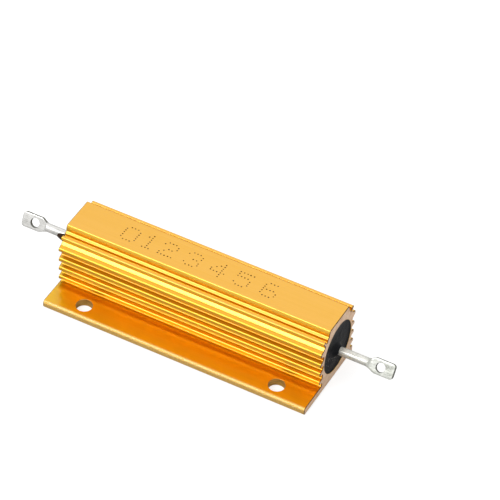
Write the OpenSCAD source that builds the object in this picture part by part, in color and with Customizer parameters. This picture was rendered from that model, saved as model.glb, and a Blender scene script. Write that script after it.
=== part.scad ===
// Aluminium housed power resistor: a ribbed, anodised extrusion with one drilled
// mounting flange, potted around a wirewound ceramic core, with a drilled lug at
// each end.
//
// X runs along the extrusion, Z is up and the flange lies on the -Y side.
// The origin is on the underside, below the axis of the bore.

/* [Housing] */
// Length of the extrusion
body_l = 90; // [80:1:110]
// Height of the extrusion over its top land
body_h = 23; // [22.8:0.1:26]
// Half width of the flat top land
land_w = 6.05; // [5:0.05:6.2]
// Distance from the bore's mid plane to the tips of the side ribs
rib_tip = 11.15; // [10.9:0.05:12.5]
// Distance from the bore's mid plane to the bottom of the grooves
rib_root = 9.4; // [9.2:0.05:9.8]
// Height of the middle of the second rib from the top
rib_z = 12.35; // [12.3:0.01:12.6]
// Spacing of the side ribs
rib_pitch = 3.68; // [3.6:0.01:3.7]
// Thickness of a rib at its tip
rib_tip_t = 1.15; // [1.05:0.01:1.25]
// Thickness of a rib at its root
rib_root_t = 2.05; // [1.95:0.01:2.15]
// Radius of the long bore
bore_r = 8.68; // [8:0.01:8.8]
// Height of the bore's axis above the underside
bore_z = 11.3; // [11:0.05:11.6]

/* [Flange] */
// Distance from the bore's mid plane to the flange's outer edge
flange_y = 20.45; // [19:0.05:26]
// Thickness of the flange
flange_t = 2.65; // [2.2:0.05:2.7]
// Distance between the two mounting holes
hole_pitch = 66.3; // [60:0.1:76]
// Distance from the bore's mid plane to the line of the holes
hole_y = 15.7; // [15.3:0.05:16.2]
// Radius of the mounting holes
hole_r = 2.63; // [2.1:0.01:2.8]

/* [Terminals] */
// Radius of the round terminal pin
pin_r = 1.4; // [1.2:0.05:1.5]
// Distance from the middle of the part to the shoulder of the lug
lug_x0 = 55.6; // [54:0.1:57]
// Distance from the middle of the part to the end of the lug
lug_x1 = 64.3; // [64:0.1:66]
// Width of the lug
lug_w = 4.9; // [4.6:0.05:5.4]
// Thickness of the flattened lug
lug_t = 1.2; // [1:0.05:1.3]
// Distance from the middle of the part to the centre of the lug's hole
lug_hole_x = 59.8; // [59.5:0.1:60.2]
// Radius of the hole in the lug
lug_hole_r = 1.5; // [1.3:0.05:1.6]
// Turn of the right lug about its pin, from lying flat
lug_turn_right = 55; // [0:1:90]
// Turn of the left lug about its pin, from lying flat
lug_turn_left = 64; // [0:1:90]

/* [Resistance element] */
// Radius of the ceramic core
core_r = 6; // [5.5:0.05:6.1]
// Length of the ceramic core
core_l = 70; // [60:1:72]
// Radius of the resistance wire
wire_r = 0.3; // [0.25:0.01:0.35]
// Spacing of the turns
wire_pitch = 2.1; // [1.8:0.1:3]
// Wall of the pressed end caps
cap_t = 0.6; // [0.5:0.05:0.7]
// Length of the end caps over the core
cap_l = 5; // [4:0.5:6]
// Thickness of the end caps' closed end
cap_end_t = 1; // [0.8:0.1:1.5]

/* [Potting] */
// Depth of the black epoxy seal in each end of the bore
seal_l = 3; // [2:0.5:4]
// Height of the seal's mound around the right pin
mound_h_right = 1.2; // [0.8:0.1:3]
// Height of the seal's mound around the left pin
mound_h_left = 4.8; // [1:0.1:6]
// Radius of the mound where it rises from the seal's face
mound_r = 5.6; // [4:0.1:7]

/* [Hidden] */
$fn = 96;
half_l = body_l / 2;
// the pins are welded a little off the bore's axis: [towards +Y, up]
pin_off_right = [-0.5, -0.7];
pin_off_left = [0.25, 0.3];
arc_steps = 5;               // chords in each rounded corner of the section
seal_recess = 0.15;          // the seal's rim lies just inside the cut end
turn_steps = 16;             // rings in one turn of the winding
wire_sides = 6;
wind_gap = 0.03;             // air between the wire and what it lies on
chord = 1 / cos(180 / turn_steps);
cap_or = core_r + cap_t;
wind_core_r = (core_r + wire_r + wind_gap) * chord;
wind_cap_r = (cap_or + wire_r + wind_gap) * chord;
cap_x = core_l / 2 - cap_l;  // where the caps' rims lie on the core
wind_half = cap_x + 1.5;     // the winding ends on the caps
turns = 2 * wind_half / wire_pitch;
pot_core_r = wind_core_r + wire_r + 0.02;
pot_cap_r = wind_cap_r + wire_r + 0.02;
pot_step_x = cap_x - 1.6;
pot_end_x = wind_half + wire_r + 0.3;
cap_end_x = core_l / 2 + cap_end_t;

function unit(v) = v / norm(v);

// points of the arc that rounds corner b, between a and c, with radius r
function fillet(a, b, c, r) =
    r <= 0 ? [b] :
    let (u = unit(a - b), w = unit(c - b), ang = acos(u * w),
         t = r / tan(ang / 2), s = b + u * t, e = b + w * t,
         ctr = b + unit(u + w) * (r / sin(ang / 2)),
         a0 = atan2(s.y - ctr.y, s.x - ctr.x),
         a1 = atan2(e.y - ctr.y, e.x - ctr.x),
         d = a1 - a0,
         da = d > 180 ? d - 360 : d < -180 ? d + 360 : d)
    [for (i = [0 : arc_steps])
        ctr + r * [cos(a0 + da * i / arc_steps), sin(a0 + da * i / arc_steps)]];

// an outline given as [y, z, corner radius], with its corners rounded
function rounded(p) = [for (i = [0 : len(p) - 1])
    let (a = p[(i + len(p) - 1) % len(p)], b = p[i], c = p[(i + 1) % len(p)])
    each fillet([a.x, a.y], [b.x, b.y], [c.x, c.y], b.z)];

// the four corners of one plain side rib; its face leans out towards the bottom,
// and its root can be made thicker on top
function rib(z, thicker) = [
    [rib_root, z - 0.95 + rib_root_t + thicker, 0.4],
    [rib_tip - 0.2, z - 0.5 + rib_tip_t, 0.55],
    [rib_tip + 0.05, z - 0.5, 0.3],
    [rib_root, z - 0.95, 0.6]];

// one side of the section from the top land down: the land's leaning side, a
// ledge, a slot, the shoulder, the heavier first side rib, then three plain ribs
function flank() = concat([
    [land_w, body_h, 0.5],
    [land_w + 0.4, body_h - 0.9, 1.5],
    [land_w + 0.6, body_h - 2.1, 0.45],
    [land_w + 1.3, body_h - 2.55, 0.3],
    [land_w + 1.4, body_h - 3.5, 0.2],
    [land_w + 2.2, body_h - 3.5, 0.2],
    [land_w + 2.45, body_h - 2.45, 0.3],
    [rib_tip - 1.65, body_h - 2.4, 0.38],
    [rib_tip - 1.3, body_h - 3.45, 0.3],
    [rib_tip - 2.2, body_h - 3.65, 0.3],
    [rib_tip - 2.2, rib_z + rib_pitch + 2.45, 0.3],
    [rib_tip - 1.4, rib_z + rib_pitch + 1.65, 0.3],
    [rib_tip + 0.05, rib_z + rib_pitch + 1.1, 0.65],
    [rib_tip + 0.1, rib_z + rib_pitch + 0.05, 0.3],
    [rib_root, rib_z + rib_pitch - 0.95, 0.7]],
    [for (i = [0 : 2]) each rib(rib_z - i * rib_pitch, i == 0 ? 0.15 : 0)]);

function mirrored(p) = [for (i = [len(p) - 1 : -1 : 0]) [-p[i].x, p[i].y, p[i].z]];

// the whole section: far side down, along the underside, up the flange side
function section() = rounded(concat(
    flank(),
    [[rib_root, flange_t + 0.25, 0.5],
     [rib_tip - 0.15, flange_t - 0.15, 0.35],
     [rib_tip - 0.15, 0, 0.3],
     [-flange_y, 0, 0.8],
     [-flange_y, flange_t, 1.1],
     [-rib_root, flange_t, 0.7]],
    mirrored(flank())));

module housing() {
    color("goldenrod")
    difference() {
        translate([-half_l, 0, 0]) rotate([90, 0, 90])
            linear_extrude(height = body_l) polygon(section());
        translate([-half_l - 1, 0, bore_z]) rotate([0, 90, 0])
            cylinder(r = bore_r, h = body_l + 2);
        for (s = [-1, 1])
            translate([s * hole_pitch / 2, -hole_y, -1])
                cylinder(r = hole_r, h = flange_t + 2);
    }
}

module ceramic_core() {
    color("ivory")
    translate([-core_l / 2, 0, bore_z]) rotate([0, 90, 0])
        cylinder(r = core_r, h = core_l);
}

// height of the wire's centre line above the axis, at distance x from the middle:
// on the core, then climbing onto the cap's rim
function climb(x) =
    let (t = max(0, min(1, (abs(x) - (cap_x - 1.5)) / 1.1)), k = t * t * (3 - 2 * t))
    wind_core_r + (wind_cap_r - wind_core_r) * k;

module resistance_winding() {
    rings = ceil(turns * turn_steps);
    pts = [for (i = [0 : rings])
        let (x = -wind_half + 2 * wind_half * i / rings, th = 360 * turns * i / rings,
             R = climb(x))
        for (j = [0 : wire_sides - 1])
            let (q = 360 * (j + 0.5) / wire_sides, rr = R + wire_r * cos(q))
            [x + wire_r * sin(q), rr * cos(th), bore_z + rr * sin(th)]];
    faces = concat(
        [[for (j = [wire_sides - 1 : -1 : 0]) j]],
        [for (i = [0 : rings - 1]) for (j = [0 : wire_sides - 1])
            let (a = i * wire_sides + j, b = i * wire_sides + (j + 1) % wire_sides)
            [a, b, b + wire_sides, a + wire_sides]],
        [[for (j = [0 : wire_sides - 1]) rings * wire_sides + j]]);
    color("silver") polyhedron(pts, faces, convexity = 10);
}

// a cup pressed over the end of the core
module end_cap() {
    translate([0, 0, bore_z]) rotate([0, 90, 0]) difference() {
        translate([0, 0, cap_x]) cylinder(r = cap_or, h = cap_l + cap_end_t);
        translate([0, 0, cap_x - 1]) cylinder(r = core_r, h = cap_l + 1);
    }
}

module end_cap_right() { color("lightsteelblue") end_cap(); }
module end_cap_left() { color("lightsteelblue") mirror([1, 0, 0]) end_cap(); }

// outline of the lug, seen square on: it swells out of the pin and ends in
// rounded corners
function lug_half() = [
    [lug_x0 - 0.6, pin_r * 0.9, 0],
    [lug_x0 + 0.4, pin_r + 0.15, 1.2],
    [lug_x0 + 2.0, lug_w / 2 - 0.1, 2.0],
    [lug_x0 + 3.2, lug_w / 2, 0],
    [lug_x1, lug_w / 2 - 0.05, 1.1]];

function flipped(p) = [for (i = [len(p) - 1 : -1 : 0]) [p[i].x, -p[i].y, p[i].z]];

module terminal(turn, off) {
    translate([0, off.x, bore_z + off.y]) rotate([turn, 0, 0]) difference() {
        union() {
            translate([cap_end_x, 0, 0]) rotate([0, 90, 0])
                cylinder(r = pin_r, h = lug_x0 - cap_end_x, $fn = 48);
            // the pin's end, pressed down to the lug's thickness in a short slope
            intersection() {
                translate([lug_x0, 0, 0]) rotate([0, 90, 0])
                    cylinder(r = pin_r, h = 1.2, $fn = 48);
                translate([0, pin_r + 1, 0]) rotate([90, 0, 0])
                    linear_extrude(height = 2 * pin_r + 2)
                        polygon([[lug_x0 - 1, -pin_r - 0.5], [lug_x0 - 0.1, -pin_r - 0.5],
                                 [lug_x0 + 0.7, -lug_t / 2 + 0.05], [lug_x0 + 1.1, -lug_t / 2 + 0.05],
                                 [lug_x0 + 1.1, lug_t / 2 - 0.05], [lug_x0 + 0.7, lug_t / 2 - 0.05],
                                 [lug_x0 - 0.1, pin_r + 0.5], [lug_x0 - 1, pin_r + 0.5]]);
            }
            translate([0, 0, -lug_t / 2]) linear_extrude(height = lug_t)
                polygon(rounded(concat(lug_half(), flipped(lug_half()))));
        }
        translate([lug_hole_x, 0, -lug_t]) cylinder(r = lug_hole_r, h = 2 * lug_t, $fn = 48);
    }
}

module terminal_right() { color("gainsboro") terminal(lug_turn_right, pin_off_right); }
module terminal_left() { color("gainsboro") mirror([1, 0, 0]) terminal(lug_turn_left, pin_off_left); }

// moulded filling between the bore and the wound core, with room for the winding
module potting_compound() {
    pot_l = half_l - seal_l;
    color("dimgray")
    difference() {
        translate([0, 0, bore_z]) rotate([0, 90, 0]) rotate_extrude()
            polygon([
                [pot_core_r, -pot_step_x], [pot_core_r, pot_step_x],
                [pot_cap_r, pot_step_x + 0.5], [pot_cap_r, pot_end_x],
                [cap_or, pot_end_x + 0.5], [cap_or, cap_end_x], [0, cap_end_x],
                [0, pot_l], [bore_r, pot_l],
                [bore_r, -pot_l], [0, -pot_l], [0, -cap_end_x],
                [cap_or, -cap_end_x], [cap_or, -pot_end_x - 0.5],
                [pot_cap_r, -pot_end_x], [pot_cap_r, -pot_step_x - 0.5]]);
        translate([cap_end_x - 1, pin_off_right.x, bore_z + pin_off_right.y]) rotate([0, 90, 0])
            cylinder(r = pin_r, h = pot_l - cap_end_x + 2, $fn = 48);
        translate([-pot_l - 1, pin_off_left.x, bore_z + pin_off_left.y]) rotate([0, 90, 0])
            cylinder(r = pin_r, h = pot_l - cap_end_x + 2, $fn = 48);
    }
}

// black epoxy that closes one end of the bore and climbs the pin as a mound
module end_seal(mound_h, off) {
    face = half_l - seal_recess;
    steps = 8;
    translate([0, 0, bore_z]) difference() {
        union() {
            translate([half_l - seal_l, 0, 0]) rotate([0, 90, 0])
                cylinder(r = bore_r, h = seal_l - seal_recess);
            translate([0, off.x, off.y]) rotate([0, 90, 0]) rotate_extrude()
                polygon(concat(
                    [[0, face - 0.5], [mound_r, face - 0.5]],
                    [for (i = [0 : steps])
                        let (t = i / steps)
                        [mound_r + (pin_r + 0.25 - mound_r) * t,
                         face + mound_h * (1 - cos(180 * t)) / 2]],
                    [[0, face + mound_h]]));
        }
        translate([half_l - seal_l - 1, off.x, off.y]) rotate([0, 90, 0])
            cylinder(r = pin_r, h = seal_l + mound_h + 3, $fn = 48);
    }
}

module end_seal_right() { color("#26282a") end_seal(mound_h_right, pin_off_right); }
module end_seal_left() { color("#26282a") mirror([1, 0, 0]) end_seal(mound_h_left, pin_off_left); }

housing();
ceramic_core();
resistance_winding();
end_cap_right();
end_cap_left();
terminal_right();
terminal_left();
potting_compound();
end_seal_right();
end_seal_left();
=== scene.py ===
"""Looks for an aluminium housed power resistor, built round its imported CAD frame.

Everything below is written in millimetres in the CAD's own frame (X along the
extrusion, -Y towards the flange, Z up) and scaled to metres as a mesh is made.
"""

import math  # noqa: E402
import random  # noqa: E402

import bmesh  # noqa: E402
import bpy  # noqa: E402
from mathutils import Matrix, Vector, noise  # noqa: E402
from mathutils.geometry import delaunay_2d_cdt  # noqa: E402


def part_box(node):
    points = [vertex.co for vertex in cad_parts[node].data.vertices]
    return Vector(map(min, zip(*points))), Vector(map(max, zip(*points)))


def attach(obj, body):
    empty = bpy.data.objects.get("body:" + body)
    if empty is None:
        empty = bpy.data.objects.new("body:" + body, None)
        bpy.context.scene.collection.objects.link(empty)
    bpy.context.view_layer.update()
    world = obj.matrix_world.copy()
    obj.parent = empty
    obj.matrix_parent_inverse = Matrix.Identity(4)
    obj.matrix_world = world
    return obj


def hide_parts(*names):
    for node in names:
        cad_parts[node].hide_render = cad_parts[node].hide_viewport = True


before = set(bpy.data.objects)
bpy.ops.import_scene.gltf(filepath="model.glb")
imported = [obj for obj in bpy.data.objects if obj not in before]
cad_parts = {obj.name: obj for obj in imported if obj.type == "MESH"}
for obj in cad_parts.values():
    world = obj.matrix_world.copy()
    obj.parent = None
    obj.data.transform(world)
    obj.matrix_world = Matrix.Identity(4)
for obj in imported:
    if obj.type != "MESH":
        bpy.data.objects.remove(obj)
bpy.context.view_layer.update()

MM = 0.001
scene = bpy.context.scene
scene.view_settings.view_transform = "Standard"
scene.view_settings.look = "None"
scene.view_settings.exposure = 0
scene.view_settings.gamma = 1


# ---------------------------------------------------------------- dimensions

lo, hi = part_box("housing")
HALF = hi.x / MM  # half the extrusion's length
TOP = hi.z / MM  # height of the top land
FLANGE_Y = -lo.y / MM  # the flange's outer edge
BORE_R, BORE_Z = 8.68, 11.3
LAND_W = 6.05
RIB_TIP, RIB_ROOT, RIB_Z, PITCH = 11.15, 9.4, 12.35, 3.68
FLANGE_T = 2.65
HOLE_X, HOLE_Y, HOLE_R = 66.3 / 2, 15.7, 2.63
PIN_R = 1.4
LUG_X0, LUG_X1, LUG_W, LUG_T = 55.6, 64.3, 4.9, 1.2
LUG_HOLE_X, LUG_HOLE_R = 59.8, 1.5
TURN = {"right": 55.0, "left": 64.0}
PIN_OFF = {"right": (-0.5, -0.7), "left": (0.25, 0.3)}
CAP_END = 36.0  # where the pins leave the end caps
SEAL_L = 3.0


# -------------------------------------------------------------- mesh builder


class Mesh:
    """Collects vertices in millimetres, faces, materials and corner normals."""

    def __init__(self):
        self.v, self.f, self.n, self.m = [], [], [], []

    def vert(self, x, y, z):
        self.v.append(Vector((x, y, z)))
        return len(self.v) - 1

    def face(self, idx, normals=None, mat=0):
        self.f.append(tuple(idx))
        self.n.append(normals)
        self.m.append(mat)

    def make(self, name, materials):
        me = bpy.data.meshes.new(name)
        me.from_pydata([p * MM for p in self.v], [], self.f)
        for mat in materials:
            me.materials.append(mat)
        me.polygons.foreach_set("material_index", self.m)
        me.polygons.foreach_set("use_smooth", [True] * len(self.f))
        me.update()
        if any(n is not None for n in self.n):
            loops = []
            for poly, given in zip(me.polygons, self.n):
                for k in range(poly.loop_total):
                    if given is None:
                        loops.append(poly.normal)
                    else:
                        loops.append(given[k])
            me.normals_split_custom_set([tuple(Vector(v).normalized()) for v in loops])
        me.validate(clean_customdata=False)
        ob = bpy.data.objects.new(name, me)
        scene.collection.objects.link(ob)
        return ob


def inside(p, ring):
    """True if the 2-D point p lies inside the ring."""
    hit, (x, y) = False, p
    for i, (x1, y1) in enumerate(ring):
        x0, y0 = ring[i - 1]
        if (y0 > y) != (y1 > y) and x < (x1 - x0) * (y - y0) / (y1 - y0) + x0:
            hit = not hit
    return hit


def fill(rings, outward, mesh, ids, mat=0):
    """Fills the plane region inside rings[0] and outside the other rings, which are
    round. rings hold 2-D points and ids the matching vertices; outward is the normal."""
    pts, edges, where, owner = [], [], [], []
    for k, (ring, names) in enumerate(zip(rings, ids)):
        base = len(pts)
        pts += [Vector(p) for p in ring]
        where += list(names)
        owner += [k] * len(ring)
        edges += [(base + i, base + (i + 1) % len(ring)) for i in range(len(ring))]
    out = delaunay_2d_cdt(pts, edges, [], 0, 1e-7, True)
    origin = [o[0] for o in out[3]]
    for tri in out[2]:
        src = [origin[i] for i in tri]
        of = {owner[i] for i in src}
        if len(of) == 1:
            k = of.pop()
            if k > 0:
                continue
            mid = sum((pts[i] for i in src), Vector((0, 0))) / 3
            if not inside(mid, rings[0]):
                continue
        idx = [where[i] for i in src]
        a, b, c = (mesh.v[i] for i in idx)
        if (b - a).cross(c - a).dot(outward) < 0:
            idx.reverse()
        mesh.face(idx, [outward] * 3, mat)


def circle(cx, cy, r, n, start=0.0):
    return [
        (cx + r * math.cos(start + 2 * math.pi * i / n), cy + r * math.sin(start + 2 * math.pi * i / n))
        for i in range(n)
    ]


# ------------------------------------------------------------------- section


def fillet(a, b, c, r, steps):
    """Points and outward normals of the arc that rounds corner b of a counter-clockwise outline."""
    a, b, c = Vector(a), Vector(b), Vector(c)
    u, w = (a - b).normalized(), (c - b).normalized()
    ang = math.acos(max(-1, min(1, u.dot(w))))
    t = r / math.tan(ang / 2)
    s, e = b + u * t, b + w * t
    ctr = b + (u + w).normalized() * (r / math.sin(ang / 2))
    a0 = math.atan2(s.y - ctr.y, s.x - ctr.x)
    a1 = math.atan2(e.y - ctr.y, e.x - ctr.x)
    d = (a1 - a0 + math.pi) % (2 * math.pi) - math.pi
    convex = d > 0
    out = []
    for i in range(steps + 1):
        q = a0 + d * i / steps
        n = Vector((math.cos(q), math.sin(q)))
        p = ctr + n * r
        out.append((p, n if convex else -n))
    return out


def rib(z, rise):
    """A side rib whose face leans out towards its lower edge."""
    return [
        (RIB_ROOT, z + rise, 0.4),
        (RIB_TIP - 0.2, z + 0.65, 0.55),
        (RIB_TIP + 0.05, z - 0.5, 0.3),
        (RIB_ROOT, z - 0.95, 0.6),
    ]


def flank():
    """One side of the section from the top land down: the land's leaning side, a
    ledge, a slot, the shoulder, the heavier first side rib, then three plain ribs."""
    zr = RIB_Z + PITCH
    rows = [
        (LAND_W, TOP, 0.5),
        (LAND_W + 0.4, TOP - 0.9, 1.5),
        (LAND_W + 0.6, TOP - 2.1, 0.45),
        (LAND_W + 1.3, TOP - 2.55, 0.3),
        (LAND_W + 1.4, TOP - 3.5, 0.2),
        (LAND_W + 2.2, TOP - 3.5, 0.2),
        (LAND_W + 2.45, TOP - 2.45, 0.3),
        (RIB_TIP - 1.65, TOP - 2.4, 0.38),
        (RIB_TIP - 1.3, TOP - 3.45, 0.3),
        (RIB_TIP - 2.2, TOP - 3.65, 0.3),
        (RIB_TIP - 2.2, zr + 2.45, 0.3),
        (RIB_TIP - 1.4, zr + 1.65, 0.3),
        (RIB_TIP + 0.05, zr + 1.1, 0.65),
        (RIB_TIP + 0.1, zr + 0.05, 0.3),
        (RIB_ROOT, zr - 0.95, 0.7),
    ]
    for i in range(3):
        rows += rib(RIB_Z - i * PITCH, 1.25 if i == 0 else 1.1)
    return rows


def section():
    """The whole outline, counter-clockwise seen from +X, as (point, normal)."""
    f = flank()
    rows = (
        f
        + [
            (RIB_ROOT, FLANGE_T + 0.25, 0.5),
            (RIB_TIP - 0.15, FLANGE_T - 0.15, 0.35),
            (RIB_TIP - 0.15, 0, 0.3),
            (-FLANGE_Y, 0, 0.8),
            (-FLANGE_Y, FLANGE_T, 1.1),
            (-RIB_ROOT, FLANGE_T, 0.7),
        ]
        + [(-y, z, r) for (y, z, r) in reversed(f)]
    )
    rows.reverse()
    out = []
    for i, (y, z, r) in enumerate(rows):
        a, c = rows[i - 1], rows[(i + 1) % len(rows)]
        steps = 7 if r >= 0.3 else 5
        out += fillet((a[0], a[1]), (y, z), (c[0], c[1]), r, steps)
    return out


# --------------------------------------------------------- dot-peened digits

DIGITS = {
    "0": ["01110", "10001", "10001", "10001", "10001", "10001", "01110"],
    "1": ["00100", "01100", "00100", "00100", "00100", "00100", "01110"],
    "2": ["01110", "10001", "00001", "00110", "01000", "10000", "11111"],
    "3": ["01110", "10001", "00001", "00110", "00001", "10001", "01110"],
    "4": ["00010", "00110", "01010", "10010", "11111", "00010", "00010"],
    "5": ["11111", "10000", "11110", "00001", "00001", "10001", "01110"],
    "6": ["01110", "10000", "10000", "11110", "10001", "10001", "01110"],
}
MARKS = [("0", -26.2), ("1", -19.6), ("2", -13.0), ("3", -4.6), ("4", 4.0), ("5", 12.4), ("6", 21.5)]
DOT_DX, DOT_DY = 1.13, 0.935


def dots():
    """Centres of the punched dots on the top land, with a little scatter."""
    rng = random.Random(7)
    out = []
    for digit, cx in MARKS:
        for row, bits in enumerate(DIGITS[digit]):
            for col, bit in enumerate(bits):
                if bit == "1":
                    out.append(
                        (
                            cx + (col - 2) * DOT_DX + rng.uniform(-0.06, 0.06) + 0.04 * (3 - row),
                            (3 - row) * DOT_DY + rng.uniform(-0.06, 0.06),
                            rng.uniform(0.9, 1.1),
                        )
                    )
    return out


# ------------------------------------------------------------------- housing


def build_housing(mats):
    m = Mesh()
    prof = section()
    K = len(prof)
    bev = 0.2
    # x stations from left to right: cut face, half chamfer, chamfer end, body
    stations = [
        (-HALF, bev, -0.9),
        (-HALF + bev * 0.3, bev * 0.3, -0.45),
        (-HALF + bev, 0.0, 0.0),
        (HALF - bev, 0.0, 0.0),
        (HALF - bev * 0.3, bev * 0.3, 0.45),
        (HALF, bev, 0.9),
    ]
    ring = []
    norm = []
    for x, inset, lean in stations:
        ids, ns = [], []
        for p, n in prof:
            ids.append(m.vert(x, p.x - n.x * inset, p.y - n.y * inset))
            c = math.cos(lean)
            ns.append(Vector((math.sin(lean), n.x * c, n.y * c)))
        ring.append(ids)
        norm.append(ns)

    def flat_edge(test):
        """Index of the outline's longest edge that passes test."""
        best, where = -1, None
        for k in range(K):
            a, b = prof[k][0], prof[(k + 1) % K][0]
            if test(a, b) and (b - a).length > best:
                best, where = (b - a).length, k
        return where

    k_top = flat_edge(lambda a, b: min(a.y, b.y) > TOP - 0.01)
    k_bottom = flat_edge(lambda a, b: max(a.y, b.y) < 0.01)
    k_flange = flat_edge(lambda a, b: abs(a.y - FLANGE_T) < 0.01 and abs(b.y - FLANGE_T) < 0.01 and max(a.x, b.x) < -9)
    special = {k_top, k_bottom, k_flange}
    for s in range(len(stations) - 1):
        A, B = ring[s], ring[s + 1]
        na, nb = norm[s], norm[s + 1]
        for k in range(K):
            j = (k + 1) % K
            if s == 2 and k in special:
                continue
            m.face((A[k], A[j], B[j], B[k]), [na[k], na[j], nb[j], nb[k]], 0 if s == 2 else 4)

    A, B = ring[2], ring[3]

    # top land with the punched dots
    j = (k_top + 1) % K
    names = [A[k_top], A[j], B[j], B[k_top]]
    outer = [(m.v[i].x, m.v[i].y) for i in names]
    rings, ids = [outer], [names]
    up = Vector((0, 0, 1))
    seg = 14
    for cx, cy, size in dots():
        size *= 0.88
        depth = 0.36 * size
        steps = [(0.37, 0.0), (0.315, 0.028), (0.265, 0.012), (0.225, -0.06), (0.15, -depth * 0.72), (0.07, -depth * 0.96)]
        rows = []
        for r, dz in steps:
            rows.append([m.vert(px, py, TOP + dz) for px, py in circle(cx, cy, r * size, seg)])
        tip = m.vert(cx, cy, TOP - depth)
        rings.append([(m.v[i].x, m.v[i].y) for i in rows[0]])
        ids.append(rows[0])
        slopes = [up]
        for a in range(1, len(steps)):
            slopes.append(None)

        def radial(i, tilt):
            q = 2 * math.pi * i / seg
            return Vector((math.cos(q) * math.sin(tilt), math.sin(q) * math.sin(tilt), math.cos(tilt)))

        tilts = [0.0, 0.05, -0.5, -0.95, -0.95, -0.35]
        for a in range(len(rows) - 1):
            for i in range(seg):
                i2 = (i + 1) % seg
                m.face(
                    (rows[a][i], rows[a][i2], rows[a + 1][i2], rows[a + 1][i]),
                    [radial(i, tilts[a]), radial(i2, tilts[a]), radial(i2, tilts[a + 1]), radial(i, tilts[a + 1])],
                    0 if a < 2 else 2,
                )
        for i in range(seg):
            i2 = (i + 1) % seg
            m.face((rows[-1][i], rows[-1][i2], tip), [radial(i, tilts[-1]), radial(i2, tilts[-1]), up], 2)
    fill(rings, up, m, ids)

    # flange top and underside, with the two screw holes between them
    hole_seg = 72
    r_edge = 0.06
    top_rings, top_ids, low_rings, low_ids = [], [], [], []
    for s in (-1, 1):
        cx, cy = s * HOLE_X, -HOLE_Y
        levels = [
            (HOLE_R + r_edge, FLANGE_T, 0.0),
            (HOLE_R + r_edge * 0.3, FLANGE_T - r_edge * 0.3, 0.8),
            (HOLE_R, FLANGE_T - r_edge, 1.571),
            (HOLE_R, r_edge, 1.571),
            (HOLE_R + r_edge * 0.3, r_edge * 0.3, 2.34),
            (HOLE_R + r_edge, 0.0, 3.1416),
        ]
        rows = [[m.vert(px, py, z) for px, py in circle(cx, cy, r, hole_seg)] for r, z, _ in levels]

        def wall(i, tilt):
            q = 2 * math.pi * i / hole_seg
            return Vector((-math.cos(q) * math.sin(tilt), -math.sin(q) * math.sin(tilt), math.cos(tilt)))

        for a in range(len(rows) - 1):
            for i in range(hole_seg):
                i2 = (i + 1) % hole_seg
                m.face(
                    (rows[a][i], rows[a][i2], rows[a + 1][i2], rows[a + 1][i]),
                    [wall(i, levels[a][2]), wall(i2, levels[a][2]), wall(i2, levels[a + 1][2]), wall(i, levels[a + 1][2])],
                    3,
                )
        top_rings.append([(m.v[i].x, m.v[i].y) for i in rows[0]])
        top_ids.append(rows[0])
        low_rings.append([(m.v[i].x, m.v[i].y) for i in rows[-1]])
        low_ids.append(rows[-1])
    for k, rr, ii, n in ((k_flange, top_rings, top_ids, up), (k_bottom, low_rings, low_ids, -up)):
        j = (k + 1) % K
        names = [A[k], A[j], B[j], B[k]]
        fill([[(m.v[i].x, m.v[i].y) for i in names]] + rr, n, m, [names] + ii)

    # bore wall and the two sawn end faces
    bore_seg = 120
    b_edge = 0.12
    bore = []
    for x, r, tilt in (
        (-HALF, BORE_R + b_edge, 0),
        (-HALF + b_edge * 0.35, BORE_R + b_edge * 0.3, 0.8),
        (-HALF + b_edge, BORE_R, 1.571),
        (HALF - b_edge, BORE_R, 1.571),
        (HALF - b_edge * 0.35, BORE_R + b_edge * 0.3, 2.34),
        (HALF, BORE_R + b_edge, 3.1416),
    ):
        bore.append(([m.vert(x, y, z) for y, z in circle(0, BORE_Z, r, bore_seg)], tilt))

    def inner(i, tilt):
        q = 2 * math.pi * i / bore_seg
        return Vector((-math.cos(tilt), -math.cos(q) * math.sin(tilt), -math.sin(q) * math.sin(tilt)))

    for a in range(len(bore) - 1):
        (ra, ta), (rb, tb) = bore[a], bore[a + 1]
        for i in range(bore_seg):
            i2 = (i + 1) % bore_seg
            m.face(
                (ra[i], rb[i], rb[i2], ra[i2]),
                [inner(i, ta), inner(i, tb), inner(i2, tb), inner(i2, ta)],
                3,
            )
    for names, bore_ids, n in ((ring[0], bore[0][0], Vector((-1, 0, 0))), (ring[-1], bore[-1][0], Vector((1, 0, 0)))):
        fill(
            [[(m.v[i].y, m.v[i].z) for i in names], [(m.v[i].y, m.v[i].z) for i in bore_ids]],
            n,
            m,
            [names, bore_ids],
            1,
        )
    ob = m.make("housing_extrusion", mats)
    return ob


# ----------------------------------------------------------------- terminals


def smooth(t):
    t = max(0.0, min(1.0, t))
    return t * t * (3 - 2 * t)


def lug_halves(x):
    """Half widths of the lug on its upper and lower side at distance x."""
    full = LUG_W / 2
    up = PIN_R + (full - PIN_R) * smooth((x - (LUG_X0 + 0.1)) / 2.2)
    low = PIN_R + (full - PIN_R) * smooth((x - (LUG_X0 - 0.3)) / 3.3)
    r = 1.15
    if x > LUG_X1 - r:
        d = min(r, x - (LUG_X1 - r))
        cut = r - math.sqrt(max(0.0, r * r - d * d))
        up, low = up - cut, low - cut
    return up, low


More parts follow.
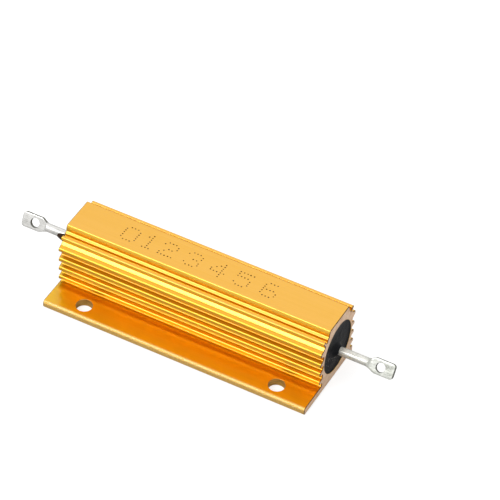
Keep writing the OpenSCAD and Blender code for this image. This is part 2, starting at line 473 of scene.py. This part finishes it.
def terminal_mesh(side, mats):
    """A round pin whose end is pressed flat into a lug, drilled through."""
    stations = [CAP_END + 0.02]
    x = 40.0
    while x < LUG_X0 - 1.2:
        stations.append(x)
        x += 1.5
    x = LUG_X0 - 1.2
    while x < LUG_X0 + 3.6:
        stations.append(x)
        x += 0.16
    while x < LUG_X1 - 1.25:
        stations.append(x)
        x += 0.35
    x = LUG_X1 - 1.2
    while x < LUG_X1 - 0.02:
        stations.append(x)
        x += 0.07
    stations.append(LUG_X1)
    seg = 60
    seed = Vector((3.7, 1.1, 9.2)) if side == "right" else Vector((11.3, 5.9, 2.4))
    m = Mesh()
    rings = []
    for x in stations:
        flat = smooth((x - (LUG_X0 - 0.15)) / 0.95)  # from round pin to pressed lug
        half_t = PIN_R + (LUG_T / 2 - PIN_R) * flat
        up, low = lug_halves(x)
        end = LUG_X1 - x
        if end < 0.3:  # rolled far edge
            half_t -= 0.3 - math.sqrt(max(0.0, 0.09 - (0.3 - end) ** 2)) if end > 0 else 0.3
        half_t = max(half_t, 0.22)
        ids = []
        power = 2.0 + 7.0 * flat
        for i in range(seg):
            q = 2 * math.pi * i / seg
            # more points near the lug's edges than over its faces
            q = q - 0.35 * flat * math.sin(2 * q) / 2
            c, s = math.cos(q), math.sin(q)
            w = up if c >= 0 else low
            if flat <= 0:
                y, z = PIN_R * c, PIN_R * s
            else:
                k = (abs(c) ** power + abs(s) ** power) ** (-1 / power)
                y, z = w * c * k, half_t * s * k
            if flat > 0.3 and end > 0.2:
                bump = noise.noise(Vector((x * 0.7, y * 0.8, 2.0)) + seed) * 0.05
                z += bump * flat
                z += 0.05 * flat * (y / w) ** 2 * (1 if s > 0 else -0.4)
            ids.append(m.vert(x, y, z))
        rings.append(ids)
    for a in range(len(rings) - 1):
        A, B = rings[a], rings[a + 1]
        x = stations[a + 1]
        up, low = lug_halves(x)
        for i in range(seg):
            j = (i + 1) % seg
            y = min(abs(m.v[B[i]].y), abs(m.v[B[j]].y)) / (up if m.v[B[i]].y > 0 else low)
            sheared = x > LUG_X0 + 0.5 and (y > 0.95 or x > LUG_X1 - 0.16)
            m.face((A[i], A[j], B[j], B[i]), None, 1 if sheared else 0)
    m.face(list(reversed(rings[0])))
    m.face(rings[-1], None, 1)
    ob = m.make("terminal_" + side + "_lug", mats)

    # the drill: a bobbin that also breaks both edges of the hole
    c = Mesh()
    rows = []
    seg = 64
    for z, r in ((-1.6, LUG_HOLE_R + 0.6), (-LUG_T / 2 - 0.02, LUG_HOLE_R + 0.1), (-LUG_T / 2 + 0.16, LUG_HOLE_R), (LUG_T / 2 - 0.16, LUG_HOLE_R), (LUG_T / 2 + 0.02, LUG_HOLE_R + 0.1), (1.6, LUG_HOLE_R + 0.6)):
        rows.append([c.vert(px, py, z) for px, py in circle(LUG_HOLE_X, 0, r, seg)])
    for a in range(len(rows) - 1):
        for i in range(seg):
            j = (i + 1) % seg
            c.face((rows[a][i], rows[a][j], rows[a + 1][j], rows[a + 1][i]), None, 1)
    c.face(list(reversed(rows[0])), None, 1)
    c.face(rows[-1], None, 1)
    drill = c.make("drill", mats)
    cut = ob.modifiers.new("hole", "BOOLEAN")
    cut.operation, cut.solver, cut.object = "DIFFERENCE", "EXACT", drill
    dg = bpy.context.evaluated_depsgraph_get()
    me = bpy.data.meshes.new_from_object(ob.evaluated_get(dg))
    ob.modifiers.clear()
    ob.data = me
    bpy.data.objects.remove(drill)
    bm = bmesh.new()  # the cut leaves slivers where it crosses the lug's own edges
    bm.from_mesh(me)
    bmesh.ops.dissolve_degenerate(bm, dist=2e-6, edges=bm.edges)
    bm.to_mesh(me)
    bm.free()
    turn, off = TURN[side], PIN_OFF[side]
    place = Matrix.Translation((0, off[0] * MM, (BORE_Z + off[1]) * MM)) @ Matrix.Rotation(math.radians(turn), 4, "X")
    if side == "left":
        place = Matrix.Diagonal((-1, 1, 1, 1)) @ place
    me.transform(place)
    if side == "left":
        me.flip_normals()
    me.polygons.foreach_set("use_smooth", [True] * len(me.polygons))
    me.set_sharp_from_angle(angle=math.radians(38))
    me.update()
    return ob


# ----------------------------------------------------------------- end seals


def seal_mesh(side, mats):
    """Poured epoxy: a disc with a meniscus at the bore and a mound that climbs the pin."""
    oy, oz = PIN_OFF[side]
    n_ang, n_rad = 144, 44
    seed = Vector((0.3, 4.1, 7.7)) if side == "right" else Vector((8.8, 2.2, 1.9))
    m = Mesh()

    def bore_reach(q):
        """Distance from the pin's axis to the bore's wall along direction q."""
        d = Vector((math.cos(q), math.sin(q)))
        o = Vector((oy, oz))
        b = o.dot(d)
        return -b + math.sqrt(b * b - (o.length_squared - BORE_R**2))

    def height(r, q, reach):
        y, z = oy + r * math.cos(q), oz + r * math.sin(q)
        wall = (reach - r) / 1.6
        x = HALF - 0.36 + 0.3 * math.exp(-max(0.0, wall) * 2.2)
        d = r - PIN_R
        if side == "right":
            climb = 1.45 + 0.2 * math.cos(q - math.radians(250))
            x += climb * math.exp(-((d / 0.65) ** 1.4)) + 0.22 * math.exp(-((d / 3.4) ** 2))
        else:
            low = 0.5 + 0.5 * math.cos(q - math.radians(235))
            climb = 0.9 + 4.3 * smooth((low - 0.05) / 0.55)
            x += climb * math.exp(-((d / (0.75 + 0.5 * low)) ** 1.6)) + (0.7 + 1.0 * low) * math.exp(-((d / 3.2) ** 2))
        x += 0.06 * noise.noise(Vector((y * 0.55, z * 0.55, 0.0)) + seed)
        x += 0.025 * noise.noise(Vector((y * 1.7, z * 1.7, 4.0)) + seed)
        return x

    rings = []
    for j in range(n_rad + 1):
        t = j / n_rad
        ids = []
        for i in range(n_ang):
            q = 2 * math.pi * i / n_ang
            reach = bore_reach(q) - 0.005
            r = PIN_R + (reach - PIN_R) * (t**1.7)
            ids.append(m.vert(height(r, q, reach), oy + r * math.cos(q), BORE_Z + oz + r * math.sin(q)))
        rings.append(ids)
    back_out, back_in = [], []
    for i in range(n_ang):
        q = 2 * math.pi * i / n_ang
        reach = bore_reach(q) - 0.005
        back_out.append(m.vert(HALF - SEAL_L, oy + reach * math.cos(q), BORE_Z + oz + reach * math.sin(q)))
        back_in.append(m.vert(HALF - SEAL_L, oy + PIN_R * math.cos(q), BORE_Z + oz + PIN_R * math.sin(q)))
    rings += [back_out, back_in, rings[0]]
    for a in range(len(rings) - 1):
        A, B = rings[a], rings[a + 1]
        for i in range(n_ang):
            j = (i + 1) % n_ang
            m.face((A[i], B[i], B[j], A[j]))
    ob = m.make("end_seal_" + side + "_epoxy", mats)
    me = ob.data
    if side == "left":
        me.transform(Matrix.Diagonal((-1, 1, 1, 1)))
        me.flip_normals()
    me.set_sharp_from_angle(angle=math.radians(50))
    return ob


# ----------------------------------------------------------------- materials


class Nodes:
    """Short names for building one material's node tree."""

    def __init__(self, name):
        self.mat = bpy.data.materials.new(name)
        self.mat.use_nodes = True
        self.t = self.mat.node_tree
        self.t.nodes.clear()
        self.out = self.t.nodes.new("ShaderNodeOutputMaterial")
        self.bsdf = self.t.nodes.new("ShaderNodeBsdfPrincipled")
        self.t.links.new(self.bsdf.outputs[0], self.out.inputs[0])
        self.coord = self.t.nodes.new("ShaderNodeTexCoord").outputs["Object"]

    def link(self, a, b):
        self.t.links.new(a, b)

    def set(self, **values):
        for key, value in values.items():
            self.bsdf.inputs[key.replace("_", " ")].default_value = value

    def mapped(self, scale=(1, 1, 1), offset=(0, 0, 0), rotation=(0, 0, 0)):
        n = self.t.nodes.new("ShaderNodeMapping")
        n.inputs["Scale"].default_value = scale
        n.inputs["Location"].default_value = offset
        n.inputs["Rotation"].default_value = rotation
        self.link(self.coord, n.inputs["Vector"])
        return n.outputs[0]

    def noise(self, vector, scale=1.0, detail=2.0, rough=0.5, distort=0.0):
        n = self.t.nodes.new("ShaderNodeTexNoise")
        n.inputs["Scale"].default_value = scale
        n.inputs["Detail"].default_value = detail
        n.inputs["Roughness"].default_value = rough
        n.inputs["Distortion"].default_value = distort
        self.link(vector, n.inputs["Vector"])
        return n.outputs[0]

    def voronoi(self, vector, scale=1.0, feature="F1"):
        n = self.t.nodes.new("ShaderNodeTexVoronoi")
        n.feature = feature
        n.inputs["Scale"].default_value = scale
        self.link(vector, n.inputs["Vector"])
        return n.outputs["Distance"]

    def ramp(self, fac, stops):
        n = self.t.nodes.new("ShaderNodeValToRGB")
        e = n.color_ramp.elements
        while len(e) > 1:
            e.remove(e[-1])
        e[0].position, e[0].color = stops[0][0], (*stops[0][1], 1)
        for p, c in stops[1:]:
            k = e.new(p)
            k.color = (*c, 1)
        self.link(fac, n.inputs[0])
        return n.outputs[0]

    def span(self, value, a, b, c, d, clamp=True):
        """value mapped from a..b to c..d."""
        n = self.t.nodes.new("ShaderNodeMapRange")
        n.clamp = clamp
        for k, v in zip(("From Min", "From Max", "To Min", "To Max"), (a, b, c, d)):
            n.inputs[k].default_value = v
        self.link(value, n.inputs["Value"])
        return n.outputs[0]

    def calc(self, op, a, b=0.0):
        n = self.t.nodes.new("ShaderNodeMath")
        n.operation = op
        for i, v in enumerate((a, b)):
            if isinstance(v, (int, float)):
                n.inputs[i].default_value = v
            else:
                self.link(v, n.inputs[i])
        return n.outputs[0]

    def mix(self, fac, a, b):
        n = self.t.nodes.new("ShaderNodeMix")
        n.data_type = "RGBA"
        for sock, v in ((n.inputs[0], fac), (n.inputs[6], a), (n.inputs[7], b)):
            if isinstance(v, tuple):
                sock.default_value = (*v, 1)
            elif isinstance(v, (int, float)):
                sock.default_value = v
            else:
                self.link(v, sock)
        return n.outputs[2]

    def axis(self, which):
        n = self.t.nodes.new("ShaderNodeSeparateXYZ")
        self.link(self.coord, n.inputs[0])
        return n.outputs[which]

    def bump(self, height, distance, strength=1.0, onto=None):
        n = self.t.nodes.new("ShaderNodeBump")
        n.inputs["Distance"].default_value = distance
        n.inputs["Strength"].default_value = strength
        self.link(height, n.inputs["Height"])
        if onto is not None:
            self.link(onto, n.inputs["Normal"])
        return n.outputs[0]

    def to(self, socket, value):
        self.link(value, self.bsdf.inputs[socket])


def anodised():
    """Gold anodised extrusion: die lines along X, a fine etch, faint stains, and
    a coarser mottle on the flange's sawn-off outer edge."""
    n = Nodes("anodised_gold")
    lines = n.noise(n.mapped((14, 2600, 2600)), 1.0, 3, 0.6)
    broad = n.noise(n.mapped((20, 420, 420), (3, 1, 2)), 1.0, 2, 0.5)
    grain = n.noise(n.mapped((1, 1, 1)), 6500, 2, 0.6)
    stain = n.noise(n.mapped((1, 1, 1), (0.3, 0.1, 0)), 130, 3, 0.55)
    speck = n.noise(n.mapped((1, 1, 1), (0.7, 0, 0.2)), 2600, 2, 0.7)
    tone = n.calc("ADD", n.span(lines, 0.3, 0.7, 0.0, 0.5), n.span(broad, 0.3, 0.7, 0.0, 0.5))
    colour = n.ramp(tone, [(0.0, (0.83, 0.42, 0.012)), (0.5, (0.86, 0.445, 0.017)), (1.0, (0.89, 0.475, 0.024))])
    # painted sheen: the upward faces round the top land are made paler than the rest
    facing = n.t.nodes.new("ShaderNodeSeparateXYZ")
    n.link(n.t.nodes["Texture Coordinate"].outputs["Normal"], facing.inputs[0])
    painted_top_sheen = n.calc("MULTIPLY", n.span(n.axis(2), 0.0175, 0.0190, 0.0, 1.0), n.span(facing.outputs[2], 0.45, 0.8, 0.0, 1.0))
    colour = n.mix(painted_top_sheen, colour, n.ramp(tone, [(0.0, (0.87, 0.46, 0.052)), (1.0, (0.92, 0.505, 0.076))]))
    # painted reflection: the flange's top is made a little less red, standing in for the paler light it reflects from
    # the ribs
    flange = n.calc("MULTIPLY", n.span(n.axis(2), 0.0030, 0.0034, 1.0, 0.0), n.span(n.axis(1), -0.0098, -0.0092, 1.0, 0.0))
    flange = n.calc("MULTIPLY", flange, n.span(facing.outputs[2], 0.3, 0.6, 0.0, 1.0))
    colour = n.mix(flange, colour, n.ramp(tone, [(0.0, (0.82, 0.45, 0.008)), (1.0, (0.88, 0.50, 0.015))]))
    # painted shade: darker in the narrow side grooves, in the slot and on the steep faces near the top land
    painted_groove_shade = n.calc("MULTIPLY", n.span(n.calc("ABSOLUTE", n.axis(1)), 0.0102, 0.0109, 1.0, 0.0), n.span(n.axis(2), 0.0165, 0.0175, 1.0, 0.0))
    painted_groove_shade = n.calc("MULTIPLY", painted_groove_shade, n.span(n.axis(2), 0.0012, 0.0018, 0.0, 1.0))
    slot = n.calc("MULTIPLY", n.span(n.axis(2), 0.0200, 0.0204, 1.0, 0.0), n.span(n.axis(2), 0.0190, 0.0194, 0.0, 1.0))
    slot = n.calc("MULTIPLY", slot, n.span(n.calc("ABSOLUTE", n.axis(1)), 0.0084, 0.0087, 1.0, 0.0))
    side = n.calc("MULTIPLY", n.span(facing.outputs[2], 0.3, 0.5, 1.0, 0.0), n.span(n.axis(2), 0.0198, 0.0204, 0.0, 1.0))
    colour = n.mix(n.calc("MAXIMUM", painted_groove_shade, n.calc("MAXIMUM", slot, side)), colour, n.ramp(tone, [(0.0, (0.73, 0.41, 0.017)), (1.0, (0.80, 0.47, 0.028))]))
    # the painted groove shade is reddest in the groove under the first rib
    red = n.calc("MULTIPLY", n.span(n.axis(2), 0.0126, 0.0130, 0.0, 1.0), n.span(n.axis(2), 0.0150, 0.0154, 1.0, 0.0))
    colour = n.mix(n.calc("MULTIPLY", painted_groove_shade, red), colour, n.ramp(tone, [(0.0, (0.76, 0.345, 0.011)), (1.0, (0.82, 0.39, 0.018))]))
    stained = n.mix(n.span(stain, 0.55, 0.75, 0.0, 0.25), colour, (0.83, 0.42, 0.03))
    # the outer nose of the flange is rougher and speckled
    nose = n.span(n.axis(1), -0.0200, -0.0194, 1.0, 0.0)
    flecked = n.mix(n.calc("MULTIPLY", nose, n.span(speck, 0.4, 0.65, 0.3, 1.0)), stained, (0.95, 0.68, 0.26))
    n.to("Base Color", flecked)
    rough = n.calc("ADD", n.span(grain, 0.3, 0.7, 0.28, 0.36), n.calc("MULTIPLY", nose, 0.16))
    n.to("Roughness", n.calc("ADD", rough, n.span(broad, 0.3, 0.7, 0.0, 0.04)))
    n.set(Metallic=1.0, Specular_Tint=(1.0, 0.74, 0.36, 1.0), Coat_Weight=0.6, Coat_IOR=1.6, Coat_Roughness=0.11)
    b = n.bump(lines, 0.0000022, 0.7)
    b = n.bump(grain, 0.0000014, 0.6, b)
    b = n.bump(n.calc("MULTIPLY", nose, speck), 0.00025, 1.0, b)
    n.to("Normal", b)
    return n.mat


def sawn():
    """Bare sawn aluminium on the cut ends, with arcs left by the blade."""
    n = Nodes("sawn_aluminium")
    arcs = n.noise(n.mapped((400, 260, 3600), (0, 0, 0), (0.5, 0, 0)), 1.0, 3, 0.6)
    cloud = n.noise(n.mapped((1, 1, 1)), 420, 3, 0.5)
    grain = n.noise(n.mapped((1, 1, 1)), 5200, 2, 0.6)
    tone = n.calc("ADD", n.span(arcs, 0.3, 0.7, 0, 0.55), n.span(cloud, 0.3, 0.7, 0, 0.45))
    n.to("Base Color", n.ramp(tone, [(0.0, (0.66, 0.40, 0.23)), (0.5, (0.90, 0.62, 0.42)), (1.0, (0.98, 0.80, 0.62))]))
    n.to("Roughness", n.span(cloud, 0.3, 0.7, 0.48, 0.6))
    n.set(Metallic=0.35)
    b = n.bump(arcs, 0.00002, 0.7)
    n.to("Normal", n.bump(grain, 0.000006, 0.5, b))
    return n.mat


def cut_edge():
    """The burnished corner between the anodised skin and the sawn end."""
    n = Nodes("burnished_edge")
    cloud = n.noise(n.mapped((1, 1, 1)), 1100, 3, 0.6)
    n.to("Base Color", n.ramp(cloud, [(0.3, (0.07, 0.04, 0.015)), (0.7, (0.22, 0.13, 0.05))]))
    n.to("Roughness", n.span(cloud, 0.3, 0.7, 0.3, 0.45))
    n.set(Metallic=1.0)
    n.to("Normal", n.bump(cloud, 0.00001, 0.5))
    return n.mat


def punched():
    """Painted shade: dark brown metal inside the punched dots."""
    n = Nodes("painted_dot_shade")
    cloud = n.noise(n.mapped((1, 1, 1)), 2600, 2, 0.6)
    n.to("Base Color", n.ramp(cloud, [(0.3, (0.09, 0.035, 0.01)), (0.7, (0.22, 0.10, 0.03))]))
    n.to("Roughness", n.span(cloud, 0.3, 0.7, 0.35, 0.55))
    n.set(Metallic=1.0)
    n.to("Normal", n.bump(cloud, 0.00001, 0.5))
    return n.mat


def bore_wall():
    """Machined walls of the screw holes and the bore, anodised over fine tool rings."""
    n = Nodes("machined_wall")
    rings = n.noise(n.mapped((60, 60, 5200)), 1.0, 2, 0.5)
    cloud = n.noise(n.mapped((1, 1, 1)), 900, 2, 0.6)
    tone = n.calc("ADD", n.span(rings, 0.3, 0.7, 0, 0.5), n.span(cloud, 0.3, 0.7, 0, 0.5))
    n.to("Base Color", n.ramp(tone, [(0.0, (0.74, 0.44, 0.09)), (1.0, (0.95, 0.62, 0.20))]))
    n.to("Roughness", n.span(rings, 0.3, 0.7, 0.24, 0.36))
    n.set(Metallic=1.0)
    n.to("Normal", n.bump(rings, 0.00001, 0.5))
    return n.mat


def epoxy():
    """Black casting epoxy with slow ripples, pinholes and a few light grey specks painted in as glints."""
    n = Nodes("black_epoxy")
    ripple = n.noise(n.mapped((1, 1, 1)), 300, 2, 0.5)
    haze = n.noise(n.mapped((1, 1, 1)), 5200, 2, 0.7)
    pin = n.voronoi(n.mapped((1, 1, 1)), 620)
    grain = n.voronoi(n.mapped((1, 1, 1), (0.2, 0.1, 0.3)), 900)
    # painted glints: light grey specks by the foot of the right-hand pin, on the flange side
    dy = n.calc("POWER", n.calc("ADD", n.axis(1), 0.0034), 2.0)
    dz = n.calc("POWER", n.calc("ADD", n.axis(2), -0.0088), 2.0)
    where = n.span(n.calc("SQRT", n.calc("ADD", dy, dz)), 0.0022, 0.0042, 1.0, 0.0)
    where = n.calc("MULTIPLY", where, n.span(n.axis(0), 0.0, 0.001, 0.0, 1.0))
    body = n.mix(n.span(haze, 0.55, 0.8, 0, 0.6), (0.008, 0.0085, 0.0105), (0.04, 0.036, 0.032))
    # browner towards the left end, where the left seal climbs the pin
    left_mound_tint = n.span(n.axis(0), -0.0466, -0.0450, 0.75, 0.0)
    body = n.mix(left_mound_tint, body, (0.050, 0.026, 0.014))
    painted_glints = n.calc("MULTIPLY", n.span(grain, 0.12, 0.24, 1.0, 0.0), where)
    n.to("Base Color", n.mix(painted_glints, body, (0.30, 0.29, 0.265)))
    n.to("Roughness", n.span(haze, 0.35, 0.75, 0.25, 0.45))
    n.set(IOR=1.15)
    b = n.bump(ripple, 0.00016, 0.5)
    b = n.bump(n.span(pin, 0.0, 0.16, 0.0, 1.0), 0.00004, 0.5, b)
    n.to("Normal", b)
    return n.mat


def tinned(dull):
    """Tinned, pressed steel: soft waves from the press, lengthwise draw lines, fine
    scratches and dull patches."""
    n = Nodes("tinned_steel_darker" if dull else "tinned_steel")
    wave = n.noise(n.mapped((1, 1, 1)), 420, 2, 0.5)
    drawn = n.noise(n.mapped((60, 2300, 2300), (0.4, 0.1, 0.2)), 1.0, 2, 0.6)
    scratch = n.noise(n.mapped((500, 2600, 2600), (0, 0, 0), (0.3, 0.2, 0.35)), 1.0, 2, 0.6)
    patch = n.noise(n.mapped((1, 1, 1), (1, 2, 3)), 900, 3, 0.6)
    tone = n.calc("ADD", n.span(wave, 0.3, 0.7, 0, 0.4), n.span(patch, 0.3, 0.7, 0, 0.3))
    tone = n.calc("ADD", tone, n.span(drawn, 0.38, 0.62, 0, 0.3))
    # the right terminal's copy is darker and greener than the left's
    if dull:
        stops = [(0.0, (0.32, 0.335, 0.29)), (0.5, (0.60, 0.615, 0.56)), (1.0, (0.84, 0.85, 0.81))]
    else:
        stops = [(0.0, (0.46, 0.46, 0.435)), (0.5, (0.72, 0.715, 0.69)), (1.0, (0.87, 0.865, 0.84))]
    colour = n.ramp(tone, stops)
    if dull:  # the pin is lighter than its pressed end
        pin_ramp = n.ramp(tone, [(0.0, (0.44, 0.435, 0.39)), (0.5, (0.74, 0.735, 0.68)), (1.0, (0.88, 0.875, 0.82))])
        colour = n.mix(n.span(n.axis(0), 0.0540, 0.0568, 0.0, 1.0), pin_ramp, colour)
    n.to("Base Color", colour)
    n.to("Roughness", n.span(patch, 0.3, 0.7, 0.24, 0.4))
    n.set(Metallic=0.65)
    b = n.bump(wave, 0.00012, 0.5)
    b = n.bump(drawn, 0.00002, 0.6, b)
    b = n.bump(scratch, 0.000012, 0.4, b)
    n.to("Normal", b)
    return n.mat


def sheared_edge():
    """Darker, torn metal where the lug and its hole were cut by the press."""
    n = Nodes("sheared_edge")
    tear = n.noise(n.mapped((900, 900, 3200)), 1.0, 3, 0.6)
    n.to("Base Color", n.ramp(tear, [(0.3, (0.10, 0.10, 0.085)), (0.7, (0.34, 0.34, 0.30))]))
    n.to("Roughness", n.span(tear, 0.3, 0.7, 0.35, 0.55))
    n.set(Metallic=1.0)
    n.to("Normal", n.bump(tear, 0.00003, 0.6))
    return n.mat


def ceramic():
    n = Nodes("ceramic_core")
    cloud = n.noise(n.mapped((1, 1, 1)), 260, 3, 0.5)
    grit = n.noise(n.mapped((1, 1, 1)), 4200, 2, 0.6)
    n.to("Base Color", n.ramp(cloud, [(0.3, (0.72, 0.69, 0.62)), (0.7, (0.84, 0.82, 0.76))]))
    n.to("Roughness", n.span(grit, 0.3, 0.7, 0.5, 0.7))
    n.to("Normal", n.bump(grit, 0.00003, 0.5))
    return n.mat


def wire():
    n = Nodes("resistance_wire")
    drawn = n.noise(n.mapped((900, 2400, 2400)), 1.0, 2, 0.6)
    n.to("Base Color", n.ramp(drawn, [(0.3, (0.42, 0.39, 0.35)), (0.7, (0.62, 0.59, 0.55))]))
    n.to("Roughness", n.span(drawn, 0.3, 0.7, 0.25, 0.4))
    n.set(Metallic=1.0)
    n.to("Normal", n.bump(drawn, 0.00001, 0.4))
    return n.mat


def cap_steel():
    n = Nodes("cap_steel")
    brushed = n.noise(n.mapped((260, 2200, 2200)), 1.0, 3, 0.6)
    n.to("Base Color", n.ramp(brushed, [(0.3, (0.46, 0.47, 0.49)), (0.7, (0.66, 0.67, 0.69))]))
    n.to("Roughness", n.span(brushed, 0.3, 0.7, 0.26, 0.42))
    n.set(Metallic=1.0)
    n.to("Normal", n.bump(brushed, 0.00001, 0.5))
    return n.mat


def potting():
    n = Nodes("potting_cement")
    cloud = n.noise(n.mapped((1, 1, 1)), 340, 4, 0.6)
    pits = n.voronoi(n.mapped((1, 1, 1)), 1500)
    n.to("Base Color", n.ramp(cloud, [(0.3, (0.075, 0.072, 0.07)), (0.7, (0.16, 0.15, 0.14))]))
    n.to("Roughness", n.span(cloud, 0.3, 0.7, 0.6, 0.85))
    n.to("Normal", n.bump(n.span(pits, 0.0, 0.2, 0.0, 1.0), 0.00008, 0.6))
    return n.mat


# -------------------------------------------------------------------- pieces

gold = anodised()
housing = build_housing([gold, sawn(), punched(), bore_wall(), cut_edge()])
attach(housing, "root")
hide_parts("housing")

edge = sheared_edge()
for side in ("right", "left"):
    lug = terminal_mesh(side, [tinned(side == "right"), edge])
    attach(lug, "root")
    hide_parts("terminal_" + side)

black = epoxy()
for side in ("right", "left"):
    seal = seal_mesh(side, [black])
    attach(seal, "root")
    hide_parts("end_seal_" + side)

steel = cap_steel()
for name, mat in (
    ("ceramic_core", ceramic()),
    ("resistance_winding", wire()),
    ("end_cap_right", steel),
    ("end_cap_left", steel),
    ("potting_compound", potting()),
):
    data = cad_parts[name].data
    data.materials.clear()
    data.materials.append(mat)


# --------------------------------------------------------------------- stage


def floor_material():
    """White paper: pure and nearly shadowless to the eye, a softer grey in reflections."""
    n = Nodes("floor_paper")
    tone = n.noise(n.mapped((1, 1, 1)), 5, 2, 0.5)
    away = n.calc("SQRT", n.calc("ADD", n.calc("POWER", n.axis(0), 2.0), n.calc("POWER", n.axis(1), 2.0)))
    near = n.ramp(tone, [(0.3, (0.395, 0.395, 0.395)), (0.7, (0.405, 0.405, 0.405))])
    n.to("Base Color", n.mix(n.span(away, 0.1, 0.22, 0.0, 1.0), near, (0.9, 0.9, 0.9)))
    n.set(Roughness=1.0)
    n.bsdf.inputs["Specular IOR Level"].default_value = 0.0
    glow = n.t.nodes.new("ShaderNodeEmission")
    glow.inputs["Strength"].default_value = 0.7
    both = n.t.nodes.new("ShaderNodeAddShader")
    n.link(n.bsdf.outputs[0], both.inputs[0])
    n.link(glow.outputs[0], both.inputs[1])
    path = n.t.nodes.new("ShaderNodeLightPath")
    pick = n.t.nodes.new("ShaderNodeMixShader")
    n.link(path.outputs["Is Camera Ray"], pick.inputs[0])
    n.link(n.bsdf.outputs[0], pick.inputs[1])
    n.link(both.outputs[0], pick.inputs[2])
    n.link(pick.outputs[0], n.out.inputs[0])
    return n.mat


f = Mesh()
f.face([f.vert(-3000, -3000, -0.02), f.vert(3000, -3000, -0.02), f.vert(3000, 3000, -0.02), f.vert(-3000, 3000, -0.02)])
floor = f.make("floor", [floor_material()])

world = bpy.data.worlds.new("studio")
scene.world = world
world.use_nodes = True
wt = world.node_tree
bg = wt.nodes.get("Background")
sky = wt.nodes.new("ShaderNodeTexCoord")
split = wt.nodes.new("ShaderNodeSeparateXYZ")
shade = wt.nodes.new("ShaderNodeValToRGB")
wt.links.new(sky.outputs["Generated"], split.inputs[0])
wt.links.new(split.outputs[2], shade.inputs[0])
wt.links.new(shade.outputs[0], bg.inputs["Color"])
stops = [(0.0, 0.95), (0.08, 0.9), (0.2, 0.62), (0.42, 0.6), (0.56, 0.85), (0.67, 0.98), (1.0, 1.0)]
ramp = shade.color_ramp.elements
while len(ramp) > 1:
    ramp.remove(ramp[-1])
ramp[0].position, ramp[0].color = stops[0][0], (stops[0][1],) * 3 + (1,)
for at, level in stops[1:]:
    ramp.new(at).color = (level,) * 3 + (1,)
bg.inputs["Strength"].default_value = 1.14


def softbox(name, towards, distance, size_x, size_y, watts):
    """A rectangular soft light that looks at the object from a direction."""
    light = bpy.data.lights.new(name, "AREA")
    light.shape = "RECTANGLE"
    light.size, light.size_y = size_x, size_y
    light.energy = watts
    ob = bpy.data.objects.new(name, light)
    scene.collection.objects.link(ob)
    d = Vector(towards).normalized()
    ob.location = Vector((0, 0, 0.012)) + d * distance
    ob.rotation_mode = "QUATERNION"
    ob.rotation_quaternion = (-d).to_track_quat("-Z", "Y")
    return ob


softbox("key", (-0.317, -0.669, 0.672), 0.9, 0.5, 0.3, 2.8)


# -------------------------------------------------------------------- camera

AZ, EL, ROLL = math.radians(25.945), math.radians(43.579), math.radians(3.287)
back = Vector((math.sin(AZ) * math.cos(EL), -math.cos(AZ) * math.cos(EL), math.sin(EL)))
right = Vector((math.cos(AZ), math.sin(AZ), 0))
upward = back.cross(right)
rr = right * math.cos(ROLL) + upward * math.sin(ROLL)
uu = upward * math.cos(ROLL) - right * math.sin(ROLL)
eye = Vector((0, 0, 14)) + back * 992.637 + rr * 13.348 + uu * 11.015
cam_data = bpy.data.cameras.new("camera")
cam_data.sensor_fit = "AUTO"
cam_data.sensor_width = 36
cam_data.lens = 236.80
cam_data.clip_start, cam_data.clip_end = 0.05, 20
cam = bpy.data.objects.new("camera", cam_data)
scene.collection.objects.link(cam)
cam.matrix_world = Matrix(
    (
        (rr.x, uu.x, back.x, eye.x * MM),
        (rr.y, uu.y, back.y, eye.y * MM),
        (rr.z, uu.z, back.z, eye.z * MM),
        (0, 0, 0, 1),
    )
)
scene.camera = cam

bpy.context.view_layer.update()
